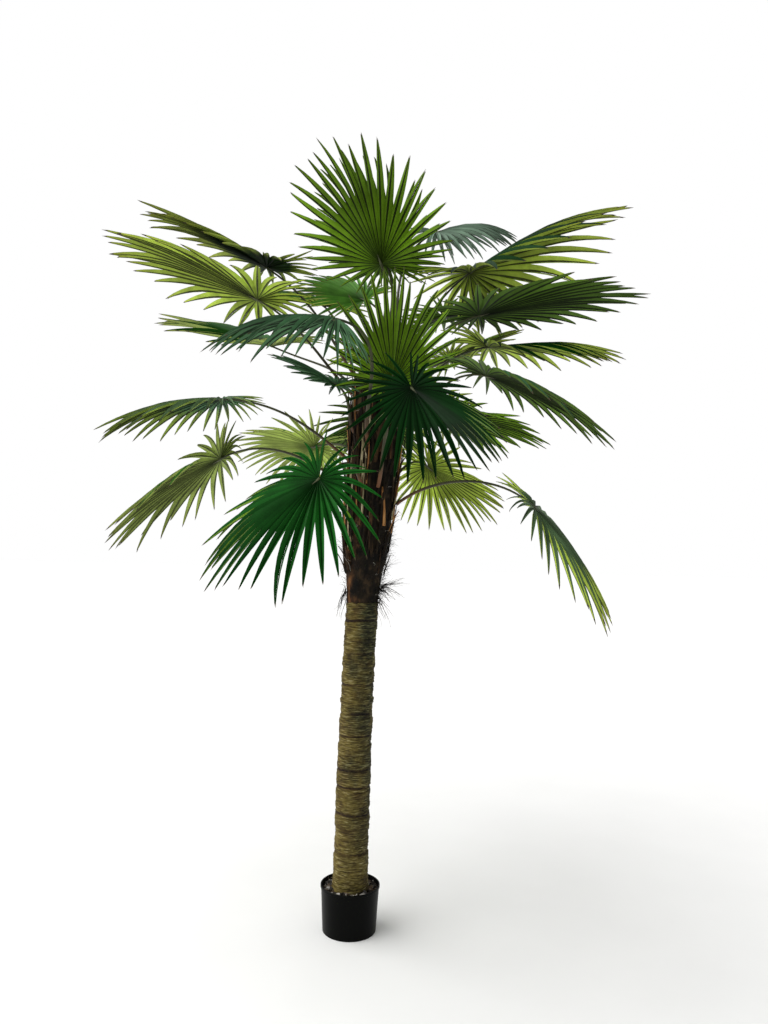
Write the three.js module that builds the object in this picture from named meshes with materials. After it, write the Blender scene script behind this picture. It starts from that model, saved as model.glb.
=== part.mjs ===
// A potted fan palm: black pot, dark fill, leaning trunk, fibrous husk and fan fronds on arching stems.
// Millimetres, +Z up, origin at the centre of the pot's flat underside, the front of the plant toward -Y.
import * as THREE from 'three';

const RAD = Math.PI / 180;
const JOINT_GAP = 0.3;

// Pot: a thin-walled tub with a narrow lip
const POT_HEIGHT = 168;
const POT_FOOT_RADIUS = 99;
const POT_TOP_RADIUS = 108;
const POT_LIP_RADIUS = 110;
const POT_LIP_HEIGHT = 10;
const POT_WALL = 3;
const POT_FLOOR = 5;
const POT_SIDES = 48;

// Fill: the dark bed round the trunk foot, a little below the lip
const FILL_TOP = 153;

// Trunk: a slim bole with a small flare at the foot, leaning to the right
const TRUNK_FLARE_RADIUS = 70;
const TRUNK_FOOT_RADIUS = 63;
const TRUNK_TOP_RADIUS = 58.5;
const TRUNK_FLARE_HEIGHT = 60;
const TRUNK_TOP = 1200;
const TRUNK_SIDES = 24;
const TRUNK_RINGS = 12;
const LEAN = 54;
const LEAN_HEIGHT = 1780;
const LEAN_POWER = 2.7;

// Husk: the sleeve of old leaf bases and fibre under the crown, as pairs of height and radius
const HUSK_SIDES = 32;
const HUSK_PROFILE = [
  [1200, 70],
  [1240, 81],
  [1370, 83.5],
  [1500, 86],
  [1630, 89],
  [1760, 92],
  [1860, 93],
  [1960, 94],
  [2060, 80],
  [2130, 58],
  [2180, 36],
];

// Stems
const STEM_BASE_RADIUS = 8;
const STEM_TIP_RADIUS = 5;
const STEM_POINT_RADIUS = 2.6;
const STEM_SIDES = 6;
const STEM_STEPS = 9;
const STEM_RISE = 0.34;
const STEM_LEAD = 0.40;
const STEM_LEAD_MAX = 260;

// Blades: a fan of leaflets on both sides of the axis, open toward the stem
const BLADE_THICKNESS = 6.5;
const LEAFLETS = 28;
const FAN_HALF_ANGLE = 165;
const FAN_EVEN_SHARE = 0.45;
const REACH_BACK = 0.30;
const REACH_FADE = 95;
const REACH_POWER = 1.5;
const SINUS_BACK = 0.30;
const SINUS_FRONT = 0.60;
const SINUS_FADE = 100;
const REAR_LIFT = 50;
const REAR_START = 75;
const EDGE_STEPS = 400;
const EDGE_LEVELS = [-1, -0.75, -0.5, -0.25, 0, 0.25, 0.5, 0.75, 1];

// Fronds: hub position, aim (azimuth, elevation, roll), forward length, fold of the halves, curl of the
// leaflets, height of the stem base on the husk and tilt of the stem from upright where it leaves; degrees.
// Leaflets that would touch a neighbouring frond are skipped. The lift of the rear leaflets is given where it
// isn't the usual one.
const FRONDS = [
  { hub: [60, -120, 2450], aim: [238, 48, 8], length: 490, fold: 5, curl: 12, base: 2100, tilt: 5 },
  { hub: [80, 120, 2530], aim: [225, 60, 5], length: 460, fold: 5, curl: 15,
    base: 2120, tilt: 10, skip: [2] },
  { hub: [-391, 100, 2500], aim: [183, 32, -8], length: 560, fold: 2, curl: 20, base: 2060, tilt: 35 },
  { hub: [-400, -50, 2330], aim: [180, 27, 3], length: 630, fold: 0, curl: 15, base: 1990, tilt: 45 },
  { hub: [-410, 450, 2270], aim: [165, 24, -14], length: 580, fold: 3, curl: 15, base: 2000, tilt: 45 },
  { hub: [-76, -492, 2147], aim: [195, 5, -7], length: 440, fold: -3, curl: 38,
    base: 1800, tilt: 55, lift: -35, skip: [3] },
  { hub: [-92, -120, 2005], aim: [205, 25, -25], length: 280, fold: 0, curl: 10,
    base: 1840, tilt: 40, skip: [0, 1, 2, 3, 4] },
  { hub: [-531, 0, 1963], aim: [187, -1, -1], length: 480, fold: -4, curl: 33,
    base: 1745, tilt: 50, lift: 10 },
  { hub: [-540, 50, 1740], aim: [175, -30, 2], length: 530, fold: 0, curl: 15, base: 1640, tilt: 50 },
  { hub: [-210, 410, 1835], aim: [140, -5, 28], length: 420, fold: 0, curl: 10, base: 1730, tilt: 45 },
  { hub: [-120, -450, 1640], aim: [220, -35, -20], length: 490, fold: -8, curl: 20, base: 1640, tilt: 45 },
  { hub: [110, -200, 2000], aim: [275, 68, 0], length: 410, fold: 10, curl: 10,
    base: 1740, tilt: 25, skip: [0, 1, 2, 3, 4, 18, 19, 25] },
  { hub: [170, -505, 1930], aim: [300, -32, 18], length: 430, fold: -15, curl: 20, base: 1640, tilt: 45 },
  { hub: [390, -50, 2450], aim: [355, 37, -5], length: 640, fold: -20, curl: 26,
    base: 2080, tilt: 30, skip: [0, 1] },
  { hub: [418, -150, 2263], aim: [345, 12, 3], length: 590, fold: 3, curl: 12,
    base: 2020, tilt: 40, lift: 15, skip: [24, 25] },
  { hub: [490, 150, 2220], aim: [5, 10, 8], length: 560, fold: -5, curl: 17, base: 1960, tilt: 45 },
  { hub: [360, 440, 2230], aim: [30, 28, -12], length: 400, fold: 0, curl: 10,
    base: 2030, tilt: 40, skip: [4, 25] },
  { hub: [448, -145, 2046], aim: [338, -16, -3], length: 530, fold: 5, curl: 25,
    base: 1860, tilt: 45, lift: 10, skip: [1] },
  { hub: [360, 245, 1955], aim: [15, -8, -6], length: 430, fold: 0, curl: 10, base: 1845, tilt: 45 },
  { hub: [270, 300, 1750], aim: [43, -26, -15], length: 430, fold: -13, curl: 10, base: 1640, tilt: 45 },
  { hub: [660, 0, 1580], aim: [20, -40, 30], length: 540, fold: 0, curl: 15,
    base: 1580, tilt: 50, lift: 0 },
  { hub: [285, 370, 2758], aim: [355, 25, 15], length: 380, fold: -15, curl: 55, base: 2120, tilt: 38 },
  { hub: [-10, 320, 2445], aim: [165, 25, -38], length: 350, fold: 0, curl: 10,
    base: 2040, tilt: 35, skip: [0, 27] },
  { hub: [-200, 550, 2480], aim: [120, 30, 0], length: 440, fold: 0, curl: 15,
    base: 1960, tilt: 45, skip: [27] },
  { hub: [330, 460, 2420], aim: [50, 20, -5], length: 460, fold: 0, curl: 15, base: 2075, tilt: 42 },
  { hub: [60, 472, 2255], aim: [86, 18, 0], length: 405, fold: -5, curl: 20, base: 1990, tilt: 35 },
  { hub: [50, 500, 1980], aim: [95, -8, 0], length: 520, fold: -15, curl: 20, base: 1800, tilt: 45 },
  { hub: [280, 540, 2060], aim: [62, 0, 0], length: 480, fold: -10, curl: 20, base: 1900, tilt: 45 },
];

const material = (colour, roughness) => () => new THREE.MeshStandardMaterial({ color: colour, roughness });
const POT_BLACK = material('#242520', 0.45);
const FILL_DARK = material('#3a3733', 0.9);
const BARK_BROWN = material('#5c4d33', 0.9);
const HUSK_BROWN = material('#4a3320', 0.95);
const STEM_GREEN = material('#3d4a1e', 0.6);
const LEAF_GREEN = material('#2f5a22', 0.6);

function named(name, geometry, makeMaterial) {
  const mesh = new THREE.Mesh(geometry, makeMaterial());
  mesh.name = name;
  return mesh;
}

function surface(points, faces) {
  const geometry = new THREE.BufferGeometry();
  geometry.setAttribute('position', new THREE.Float32BufferAttribute(points.flatMap((p) => p.toArray()), 3));
  geometry.setIndex(faces.flat());
  geometry.computeVertexNormals();
  return geometry;
}

// A skin over rings of equal count, counter-clockwise about the way they advance, closed flat at both ends
function loft(rings) {
  const sides = rings[0].length;
  const faces = [];
  for (let row = 0; row + 1 < rings.length; row += 1) {
    for (let i = 0; i < sides; i += 1) {
      const low = row * sides + i;
      const next = row * sides + ((i + 1) % sides);
      faces.push([low, next, next + sides], [low, next + sides, low + sides]);
    }
  }
  const last = (rings.length - 1) * sides;
  for (let i = 1; i + 1 < sides; i += 1) {
    faces.push([0, i + 1, i], [last, last + i, last + i + 1]);
  }
  return surface(rings.flat(), faces);
}

function ring(centre, across, along, radius, sides) {
  return Array.from({ length: sides }, (_, i) => {
    const turn = (2 * Math.PI * i) / sides;
    return centre.clone()
      .addScaledVector(across, radius * Math.cos(turn))
      .addScaledVector(along, radius * Math.sin(turn));
  });
}

const AXIS_X = new THREE.Vector3(1, 0, 0);
const AXIS_Y = new THREE.Vector3(0, 1, 0);
const AXIS_Z = new THREE.Vector3(0, 0, 1);

const levelRing = (centre, radius, sides) => ring(centre, AXIS_X, AXIS_Y, radius, sides);

const potRadius = (z) => POT_FOOT_RADIUS + ((POT_TOP_RADIUS - POT_FOOT_RADIUS) * z) / POT_HEIGHT;

function pot() {
  const lipStart = POT_HEIGHT - POT_LIP_HEIGHT;
  const profile = [
    [POT_FOOT_RADIUS, 0],
    [potRadius(lipStart), lipStart],
    [POT_LIP_RADIUS, lipStart + 1],
    [POT_LIP_RADIUS, POT_HEIGHT],
    [POT_TOP_RADIUS - POT_WALL, POT_HEIGHT],
    [potRadius(POT_FLOOR) - POT_WALL, POT_FLOOR],
  ];
  return loft(profile.map(([radius, z]) => levelRing(new THREE.Vector3(0, 0, z), radius, POT_SIDES)));
}

function fill() {
  const low = POT_FLOOR + JOINT_GAP;
  const heights = [low, FILL_TOP];
  return loft(heights.map((z) => {
    const radius = potRadius(z) - POT_WALL - 2 * JOINT_GAP;
    return levelRing(new THREE.Vector3(0, 0, z), radius, POT_SIDES);
  }));
}

const leanAt = (z) => LEAN * Math.min(1, z / LEAN_HEIGHT) ** LEAN_POWER;

const axisAt = (z) => new THREE.Vector3(leanAt(z), 0, z);

function trunkRadius(z) {
  const rise = (z - FILL_TOP) / (TRUNK_TOP - FILL_TOP);
  const flare = Math.max(0, 1 - (z - FILL_TOP) / TRUNK_FLARE_HEIGHT);
  const taper = TRUNK_FOOT_RADIUS + (TRUNK_TOP_RADIUS - TRUNK_FOOT_RADIUS) * rise;
  return taper + (TRUNK_FLARE_RADIUS - TRUNK_FOOT_RADIUS) * flare * flare;
}

function trunk() {
  const low = FILL_TOP + JOINT_GAP;
  const heights = [low, low + TRUNK_FLARE_HEIGHT / 3];
  for (let i = 1; i <= TRUNK_RINGS; i += 1) {
    heights.push(low + TRUNK_FLARE_HEIGHT + ((TRUNK_TOP - low - TRUNK_FLARE_HEIGHT) * i) / TRUNK_RINGS);
  }
  return loft(heights.map((z) => levelRing(axisAt(z), trunkRadius(z), TRUNK_SIDES)));
}

function huskRadius(z) {
  const above = HUSK_PROFILE.findIndex(([height]) => height >= z);
  const [highZ, highRadius] = HUSK_PROFILE[above];
  const [lowZ, lowRadius] = HUSK_PROFILE[Math.max(0, above - 1)];
  const share = highZ > lowZ ? (z - lowZ) / (highZ - lowZ) : 0;
  return lowRadius + (highRadius - lowRadius) * share;
}

function husk() {
  const low = TRUNK_TOP + JOINT_GAP;
  return loft(HUSK_PROFILE.map(([z, radius]) => levelRing(axisAt(Math.max(z, low)), radius, HUSK_SIDES)));
}

// The frond's own directions: forward along the blade, to its side, and out of its top face
function frondAxes({ aim }) {
  const [azimuth, elevation, roll] = aim.map((angle) => angle * RAD);
  const forward = new THREE.Vector3(
    Math.cos(azimuth) * Math.cos(elevation),
    Math.sin(azimuth) * Math.cos(elevation),
    Math.sin(elevation),
  );
  const level = new THREE.Vector3(-Math.sin(azimuth), Math.cos(azimuth), 0);
  const upright = forward.clone().cross(level);
  const side = level.clone().multiplyScalar(Math.cos(roll)).addScaledVector(upright, Math.sin(roll));
  return { forward, side, top: forward.clone().cross(side) };
}

// The leaflets toward the stem stand up off the blade's plane, more the nearer they are to it
function rearLift(frond, phi) {
  const share = (Math.abs(phi) / RAD - REAR_START) / (FAN_HALF_ANGLE - REAR_START);
  return (frond.lift ?? REAR_LIFT) * RAD * Math.max(0, share);
}

// A point on the blade's middle surface at an angle from its axis and a distance from its hub
function bladePoint(frond, axes, phi, distance) {
  const fold = frond.fold * RAD;
  const halfCosine = Math.cos(phi / 2) ** 2;
  const lift = rearLift(frond, phi);
  const heading = axes.side.clone().multiplyScalar(Math.cos(fold))
    .addScaledVector(axes.top, Math.sin(fold) * Math.sign(phi))
    .multiplyScalar(Math.sin(phi))
    .addScaledVector(axes.forward, Math.cos(phi))
    .multiplyScalar(Math.cos(lift))
    .addScaledVector(axes.top, Math.sin(lift))
    .normalize();
  const down = axes.top.clone().multiplyScalar(-halfCosine).addScaledVector(AXIS_Z, halfCosine - 1);
  down.addScaledVector(heading, -down.dot(heading)).normalize();
  const bend = (frond.curl * RAD) / frond.length;
  return new THREE.Vector3(...frond.hub)
    .addScaledVector(heading, Math.sin(bend * distance) / bend)
    .addScaledVector(down, (1 - Math.cos(bend * distance)) / bend);
}

function bladeNormal(frond, axes, phi, distance) {
  const here = bladePoint(frond, axes, phi, distance);
  const outward = bladePoint(frond, axes, phi, distance + 1).sub(here);
  const around = bladePoint(frond, axes, phi + 0.01 * Math.sign(phi), distance).sub(here);
  return outward.cross(around).multiplyScalar(Math.sign(phi)).normalize();
}

// Leaflets sit closer together toward the front of the fan than toward the stem
function fanAngle(place) {
  const t = (2 * place) / LEAFLETS - 1;
  return FAN_HALF_ANGLE * RAD * (FAN_EVEN_SHARE * t + (1 - FAN_EVEN_SHARE) * t * Math.abs(t));
}

const reach = (phi) => REACH_BACK
  + (1 - REACH_BACK) * Math.exp(-((Math.abs(phi) / (REACH_FADE * RAD)) ** REACH_POWER));

const sinus = (phi) => SINUS_BACK + (SINUS_FRONT - SINUS_BACK) * Math.exp(-((phi / (SINUS_FADE * RAD)) ** 2));

function blade(frond) {
  const axes = frondAxes(frond);
  const skip = frond.skip ?? [];
  const middle = [{ point: new THREE.Vector3(...frond.hub), normal: axes.top }];
  const edge = [0];
  const faces = [];
  const put = (phi, share) => {
    const safe = phi === 0 ? 1e-4 : phi;
    const distance = frond.length * reach(phi) * share;
    middle.push({
      point: bladePoint(frond, axes, safe, distance),
      normal: bladeNormal(frond, axes, safe, distance),
    });
    edge.push(middle.length - 1);
    return middle.length - 1;
  };
  let left = put(fanAngle(0), sinus(fanAngle(0)));
  for (let i = 0; i < LEAFLETS; i += 1) {
    const tip = skip.includes(i) ? null : put(fanAngle(i + 0.5), 1);
    const right = put(fanAngle(i + 1), sinus(fanAngle(i + 1)));
    faces.push([0, left, right]);
    if (tip) faces.push([left, tip, right]);
    left = right;
  }
  return plate(middle, faces, edge);
}

// A sheet of even thickness over the faces of a middle surface, with its edge loop closed
function plate(middle, faces, edge) {
  const count = middle.length;
  const shift = (distance) => middle
    .map(({ point, normal }) => point.clone().addScaledVector(normal, distance));
  const skin = faces.flatMap(([a, b, c]) => [[a, b, c], [a + count, c + count, b + count]]);
  edge.forEach((a, i) => {
    const b = edge[(i + 1) % edge.length];
    skin.push([a, a + count, b + count], [a, b + count, b]);
  });
  return surface([...shift(BLADE_THICKNESS / 2), ...shift(-BLADE_THICKNESS / 2)], skin);
}

// How far behind its hub the blade leaves no room for the stem's point, from places on its two rear edges
function stemStop(frond) {
  const hub = new THREE.Vector3(...frond.hub);
  const axes = frondAxes(frond);
  let stop = 0;
  for (const phi of [fanAngle(0), fanAngle(LEAFLETS)]) {
    const distance = frond.length * reach(phi) * sinus(phi);
    const end = bladePoint(frond, axes, phi, distance);
    const normal = bladeNormal(frond, axes, phi, distance);
    for (let i = 0; i <= EDGE_STEPS; i += 1) {
      const share = i / EDGE_STEPS;
      const along = hub.clone().lerp(end, share).sub(hub);
      const across = axes.top.clone().lerp(normal, share).multiplyScalar(BLADE_THICKNESS / 2);
      for (const level of EDGE_LEVELS) {
        const place = along.clone().addScaledVector(across, level);
        const behind = -place.dot(axes.forward);
        const aside = place.addScaledVector(axes.forward, behind).length() - STEM_POINT_RADIUS;
        const room = JOINT_GAP ** 2 - Math.max(0, aside) ** 2;
        if (room > 0) stop = Math.max(stop, behind + Math.sqrt(room));
      }
    }
  }
  return stop;
}

// The stem leaves the husk on the hub's side, a flat of its foot against the sleeve, arches over and arrives
// along the blade's axis
function stemCurve(frond) {
  const hub = new THREE.Vector3(...frond.hub);
  const tilt = frond.tilt * RAD;
  const inset = STEM_BASE_RADIUS * Math.cos(Math.PI / STEM_SIDES);
  const contact = frond.base + inset * Math.sin(tilt);
  const axis = axisAt(contact);
  const outward = hub.clone().sub(axis).setZ(0).normalize();
  const start = axis.addScaledVector(outward, huskRadius(contact) + inset * Math.cos(tilt) + JOINT_GAP);
  start.setZ(frond.base);
  const span = start.distanceTo(hub);
  const launch = outward.multiplyScalar(Math.sin(tilt)).addScaledVector(AXIS_Z, Math.cos(tilt));
  const { forward } = frondAxes(frond);
  return new THREE.CubicBezierCurve3(
    start,
    start.clone().addScaledVector(launch, STEM_RISE * span),
    hub.clone().addScaledVector(forward, -Math.min(STEM_LEAD * span, STEM_LEAD_MAX)),
    hub.clone().addScaledVector(forward, -stemStop(frond)),
  );
}

function stem(frond) {
  const curve = stemCurve(frond);
  const rings = [];
  let across = new THREE.Vector3().crossVectors(curve.getTangent(0), AXIS_Z).normalize();
  for (let i = 0; i <= STEM_STEPS; i += 1) {
    const t = i / STEM_STEPS;
    const ahead = curve.getTangent(t);
    across = across.clone().addScaledVector(ahead, -across.dot(ahead)).normalize();
    const along = ahead.clone().cross(across);
    const taper = STEM_BASE_RADIUS + (STEM_TIP_RADIUS - STEM_BASE_RADIUS) * t;
    const radius = i === STEM_STEPS ? STEM_POINT_RADIUS : taper;
    rings.push(ring(curve.getPoint(t), across, along, radius, STEM_SIDES));
  }
  return loft(rings);
}

const plant = new THREE.Group();
plant.name = 'potted_fan_palm';
plant.add(
  named('pot', pot(), POT_BLACK),
  named('fill', fill(), FILL_DARK),
  named('trunk', trunk(), BARK_BROWN),
  named('husk', husk(), HUSK_BROWN),
);
FRONDS.forEach((frond, i) => {
  const tag = String(i + 1).padStart(2, '0');
  plant.add(named(`stem_${tag}`, stem(frond), STEM_GREEN), named(`blade_${tag}`, blade(frond), LEAF_GREEN));
});

export default plant;
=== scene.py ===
import math
from collections import namedtuple

import bpy
import numpy as np
from mathutils import Matrix, Vector


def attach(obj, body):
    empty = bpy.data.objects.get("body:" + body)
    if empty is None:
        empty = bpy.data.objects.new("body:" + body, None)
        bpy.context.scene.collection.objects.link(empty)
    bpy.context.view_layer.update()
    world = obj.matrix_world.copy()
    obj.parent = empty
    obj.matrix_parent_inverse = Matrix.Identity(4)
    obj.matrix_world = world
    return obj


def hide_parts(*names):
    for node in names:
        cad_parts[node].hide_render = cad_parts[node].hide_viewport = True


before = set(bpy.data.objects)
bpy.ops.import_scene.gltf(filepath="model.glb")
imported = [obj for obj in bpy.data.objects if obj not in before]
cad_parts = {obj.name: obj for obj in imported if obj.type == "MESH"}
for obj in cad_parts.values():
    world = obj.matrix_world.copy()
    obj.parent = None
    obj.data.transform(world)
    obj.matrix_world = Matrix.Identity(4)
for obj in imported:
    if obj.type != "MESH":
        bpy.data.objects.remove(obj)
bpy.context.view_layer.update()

RAD = math.pi / 180
FULL_TURN = 2 * math.pi
UPWARD = np.array([0.0, 0.0, 1.0])

# Camera: the photograph's place, its upward pitch and roll in degrees and its lens in millimetres
CAMERA_AT = (0.092, -3.05, 1.468)
CAMERA_PITCH = 1.56
CAMERA_ROLL = 1.4
CAMERA_LENS = 28.5

# Light: the room's own, its white as the camera sees it, and a broad light from the ceiling
ROOM_LIGHT = 0.50
ROOM_SEEN = 1.0
ROOM_WHITE = (1.0, 1.0, 1.0, 1)
CEILING_LIGHT = 2.8
CEILING_SPREAD = 74
CEILING_FROM = (-0.85, -0.20, 1.0)
FLOOR_SIZE = 60

# Pot: a tapered tub with a narrow lip, its bottom raised inside a standing ring, in metres
POT_HEIGHT = 0.168
POT_FOOT_RADIUS = 0.099
POT_TOP_RADIUS = 0.108
POT_LIP_RADIUS = 0.110
POT_LIP_HEIGHT = 0.010
POT_LIP_SLOPE = 0.0004
POT_WALL = 0.003
POT_EDGE = 0.001
POT_ROUNDING = 0.0012
POT_BOTTOM_LIFT = 0.003
POT_RING_WIDTH = 0.008
POT_RING_SLOPE = 0.002
POT_FLOOR_HEIGHT = 0.060
POT_FLOOR_DIP = 0.002
POT_COLUMNS = 128
POT_CRISP_ANGLE = 28

# Fill, from a hole inside the trunk's foot out to the wall
FILL_TOP = 0.153
FILL_SINK = 0.002
FILL_HOLE_RADIUS = 0.035
FILL_WALL_GAP = 0.0004
FILL_GRID = (26, 120)

# Flakes on the fill: ranges of what is drawn for each, and the share of each tint
CHIP_COUNT = 120
CHIP_SIDE = 3
CHIP_PLACE = (0.068, 0.098)
CHIP_LIFT = (0.0, 0.007)
CHIP_SIZE = (0.004, 0.014)
CHIP_WIDTH = (0.4, 1.0)
CHIP_SPIN = (0, 6.28)
CHIP_TILT = 0.5
CHIP_CRINKLE = 0.22
CHIP_WALL_GAP = 0.001
CHIP_SHARES = {"chip_grey": 0.40, "chip_brown": 0.25, "chip_dark": 0.35}

# Trunk: a slim bole with a flared foot, leaning to the right, its ends inside the fill and the husk
TRUNK_FLARE_RADIUS = 0.070
TRUNK_FOOT_RADIUS = 0.063
TRUNK_TOP_RADIUS = 0.0585
TRUNK_FLARE_HEIGHT = 0.060
TRUNK_TOP = 1.200
TRUNK_IN_FILL = 0.004
TRUNK_IN_HUSK = 0.012
LEAN = 0.054
LEAN_HEIGHT = 1.780
LEAN_POWER = 2.7
BARK_GRID = (700, 130)

# Bark relief: fine wraps, coarser bands with notches between them, ring scars and grain
WRAP_PITCH = 0.0075
WRAP_DEPTH = 0.0016
WRAP_EVEN = 0.35
WRAP_ON_MOSS = 0.45
WRAP_LEAST = 0.05
BAND_PITCH = 0.0190
BAND_OUT = (-0.0016, 0.0026)
NOTCH_DEPTH = 0.0024
NOTCH_WIDTH = 0.0016
NOTCH_EVEN = 0.45
RING_HEIGHTS = (0.294, 0.434, 0.533, 0.596, 0.721, 0.802, 0.909, 1.026, 1.074, 1.148)
RING_DEPTH = 0.0024
RING_WIDTH = 0.0048
RING_EVEN = 0.55
RING_PATCHY = 0.75
RING_STEPS = (40, 26)
GRAIN_DEPTH = 0.0015
GRAIN_EVEN = 0.5

# Bark shades: how far each kind of relief lightens or darkens the bark, painted light on the crests and
# painted shade in the hollows; the ring scars' red-brown is partly their own colour
EVEN_SHADE = 0.70
WRAP_SHADE = 0.32
GRAIN_SHADE = 0.14
RING_SHADE = 0.75
NOTCH_SHADE = 0.30

# Moss and painted shade: the bark's darker, greener side away from the light, partly weathering and partly
# painted shade, and its share at heights
MOSS_AND_SHADE_TURN = -0.70
MOSS_AND_SHADE_SIDE = 0.85
MOSS_LEAST = 0.05
MOSS_HEIGHTS = (0.2, 0.6, 1.2)
MOSS_SHARES = (0.45, 0.85, 1.0)

# Husk: the sleeve of old leaf bases and fibre, as pairs of height and radius, over a smoother sheath
SHEATH_TOP = 1.430
SHEATH_BLEND = 0.06
SHEATH_RELIEF = 0.35
HUSK_PROFILE = [
    (1.200, 0.062),
    (1.260, 0.066),
    (1.320, 0.073),
    (1.400, 0.082),
    (1.500, 0.090),
    (1.630, 0.094),
    (1.760, 0.096),
    (1.860, 0.096),
    (1.960, 0.094),
    (2.060, 0.080),
    (2.130, 0.058),
    (2.180, 0.036),
]
HUSK_TOP = HUSK_PROFILE[-1][0]
HUSK_INSET = 0.004
HUSK_GRID = (260, 120)

# Rust: fresh fibre on the sheath, mostly on the lit side away from the moss: partly its own colour, partly
# painted light, with painted shade near black on the other side
RUST_EVEN = 0.35
RUST_SIDE = 0.95
RUST_BLEND = 0.10
RUST_ABOVE = 0.25

# Waves in the surfaces: weight, seed, and how many rows and columns of the grid one wave spans
WAVES = {
    "wrap_wander": (0.9, 1, 40, 18),
    "wrap_flutter": (0.6, 2, 12, 7),
    "wrap_patch": (0.55, 3, 45, 20),
    "ring_level": (0.004, 4, 60, 25),
    "grain": (1.0, 6, 3, 2),
    "swell": (0.0012, 7, 45, 60),
    "band_drift": (0.5, 8, 30, 30),
    "band_flutter": (0.15, 10, 8, 8),
    "notch_patch": (0.8, 13, 18, 22),
    "moss_patch": (0.45, 14, 60, 20),
    "moss_speck": (0.25, 15, 9, 6),
    "husk_ridge": (0.0035, 11, 30, 3),
    "husk_lump": (0.0025, 12, 5, 5),
    "rust_patch": (0.5, 16, 25, 12),
    "rust_speck": (0.3, 17, 6, 4),
    "fill_swell": (0.0022, 41, 4, 6),
    "fill_lump": (0.0014, 42, 2, 2),
}
RING_SEED = 30

# Seeds of the draws
FROND_SEED = 7
BAND_SEED = 9
STRIP_SEED = 21
FIBRE_SEED = 33
CHIP_SEED = 52

# Strips: old leaf bases, with ranges of what is drawn for each
STRIP_COUNT = 260
STRIP_ROWS = 9
STRIP_FOOT = (1.31, 1.98)
STRIP_LENGTH = (0.06, 0.22)
STRIP_WIDTH = (0.004, 0.018)
STRIP_CLOSE_SHARE = 0.75
STRIP_LEAN_CLOSE = (0.002, 0.014)
STRIP_LEAN_FAR = (0.015, 0.038)
STRIP_LEAN_POWER = 1.6
STRIP_SLANT = 0.16
STRIP_FULLNESS = 1.15
STRIP_NARROWING = (0.6, 1.1)
STRIP_TIP = 0.08
STRIP_OUT = 0.001
STRIP_SIDES = (-1, 0, 1)
STRIP_RIDGE = (0.0, 0.0035, 0.0)
STRIP_THICKNESS = 0.0012

# Strip tints: share of the strips, then the dark, middle and light of their fibre
STRIP_TINTS = {
    "strip_dark": (0.50, (0.003, 0.002, 0.001), (0.012, 0.007, 0.003), (0.045, 0.026, 0.011)),
    "strip_rust": (0.18, (0.110, 0.042, 0.012), (0.330, 0.150, 0.048), (0.560, 0.310, 0.120)),
    "strip_brown": (0.25, (0.008, 0.004, 0.002), (0.035, 0.018, 0.007), (0.110, 0.060, 0.024)),
    "strip_tan": (0.07, (0.100, 0.078, 0.040), (0.300, 0.250, 0.140), (0.560, 0.500, 0.340)),
}

# Hairs: single loose strands, all over the sleeve or gathered low on its right
HAIR_COUNT = 900
HAIR_STEPS = 10
HAIR_RADII = (0.0006, 0.0002)
HAIR_SPREAD_SHARE = 0.6
HAIR_HEIGHTS = (1.22, 2.0)
HAIR_LOW_HEIGHTS = (1.24, 1.45)
HAIR_LOW_TURN = (-0.3, 0.5)
HAIR_ROOT = 0.001
HAIR_OUTWARD = (0.15, 0.8)
HAIR_UPWARD = (0.2, 1.0)
HAIR_SHORT_SHARE = 0.9
HAIR_LENGTH = (0.012, 0.045)
HAIR_LONG_LENGTH = (0.05, 0.085)
HAIR_SAG = (0, 0.03)
HAIR_WAVE = 0.004
HAIR_PALE_SHARE = 0.06
STRAND_WAVES = (4, 9)
STRAND_PHASES = (0, 6)
STRAND_SIDES = 3

# Tufts of torn fibre at the lower edge: turn and height of the root, middle heading, spread, length, strands
TUFTS = [
    (-0.25, 1.268, (1.0, -0.2, 0.34), (0.0, 0.35, 0.40), 0.095, 18),
    (-0.30, 1.262, (1.0, -0.1, -0.30), (0.1, 0.35, 0.40), 0.050, 14),
    (-0.35, 1.232, (0.50, -0.1, -0.9), (0.45, 0.3, 0.25), 0.085, 13),
    (3.45, 1.262, (-0.45, -0.1, -1.0), (0.28, 0.3, 0.10), 0.075, 15),
]
TUFT_STEPS = 14
TUFT_RADII = (0.0010, 0.0004)
TUFT_ROOT_SCATTER = 0.005
TUFT_HEADING_SCATTER = 0.10
TUFT_LENGTH = (0.45, 1.15)
TUFT_SAG = (0.0, 0.045)
TUFT_WAVE = 0.009
LINK_STEPS = range(1, 8)
LINK_SHARE = 0.5
LINK_POINTS = 4
LINK_SCATTER = 0.0012
LINK_RADIUS = 0.0004

# Stems: the arch from the sleeve to the hub, then a last stretch that thins out under the blade
STEM_BASE_RADIUS = 0.0075
STEM_TIP_RADIUS = 0.0046
STEM_FOOT_INSET = 0.0069
STEM_RISE = 0.34
STEM_LEAD = 0.40
STEM_LEAD_MAX = 0.260
STEM_STEPS = 26
STEM_SIDES = 8
STEM_FLATNESS = 0.8
STEM_END_PLACES = (0.005, 0.012, 0.024, 0.040)
STEM_END_RADII = (0.0046, 0.0052, 0.0052, 0.0036, 0.0022, 0.0008)
STEM_END_DEPTH = 0.0015

# Blades: a fan of leaflets on both sides of the axis, open toward the stem
LEAFLETS = 34
FAN_HALF_ANGLE = 165
FAN_EVEN_SHARE = 0.50
REACH_BACK = 0.30
REACH_FADE = 95
REACH_POWER = 1.5
SINUS_BACK = 0.27
SINUS_FRONT = 0.52
SINUS_FADE = 100
REAR_START = 75
NORMAL_STEP = 0.001
NORMAL_TURN = 0.01

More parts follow.
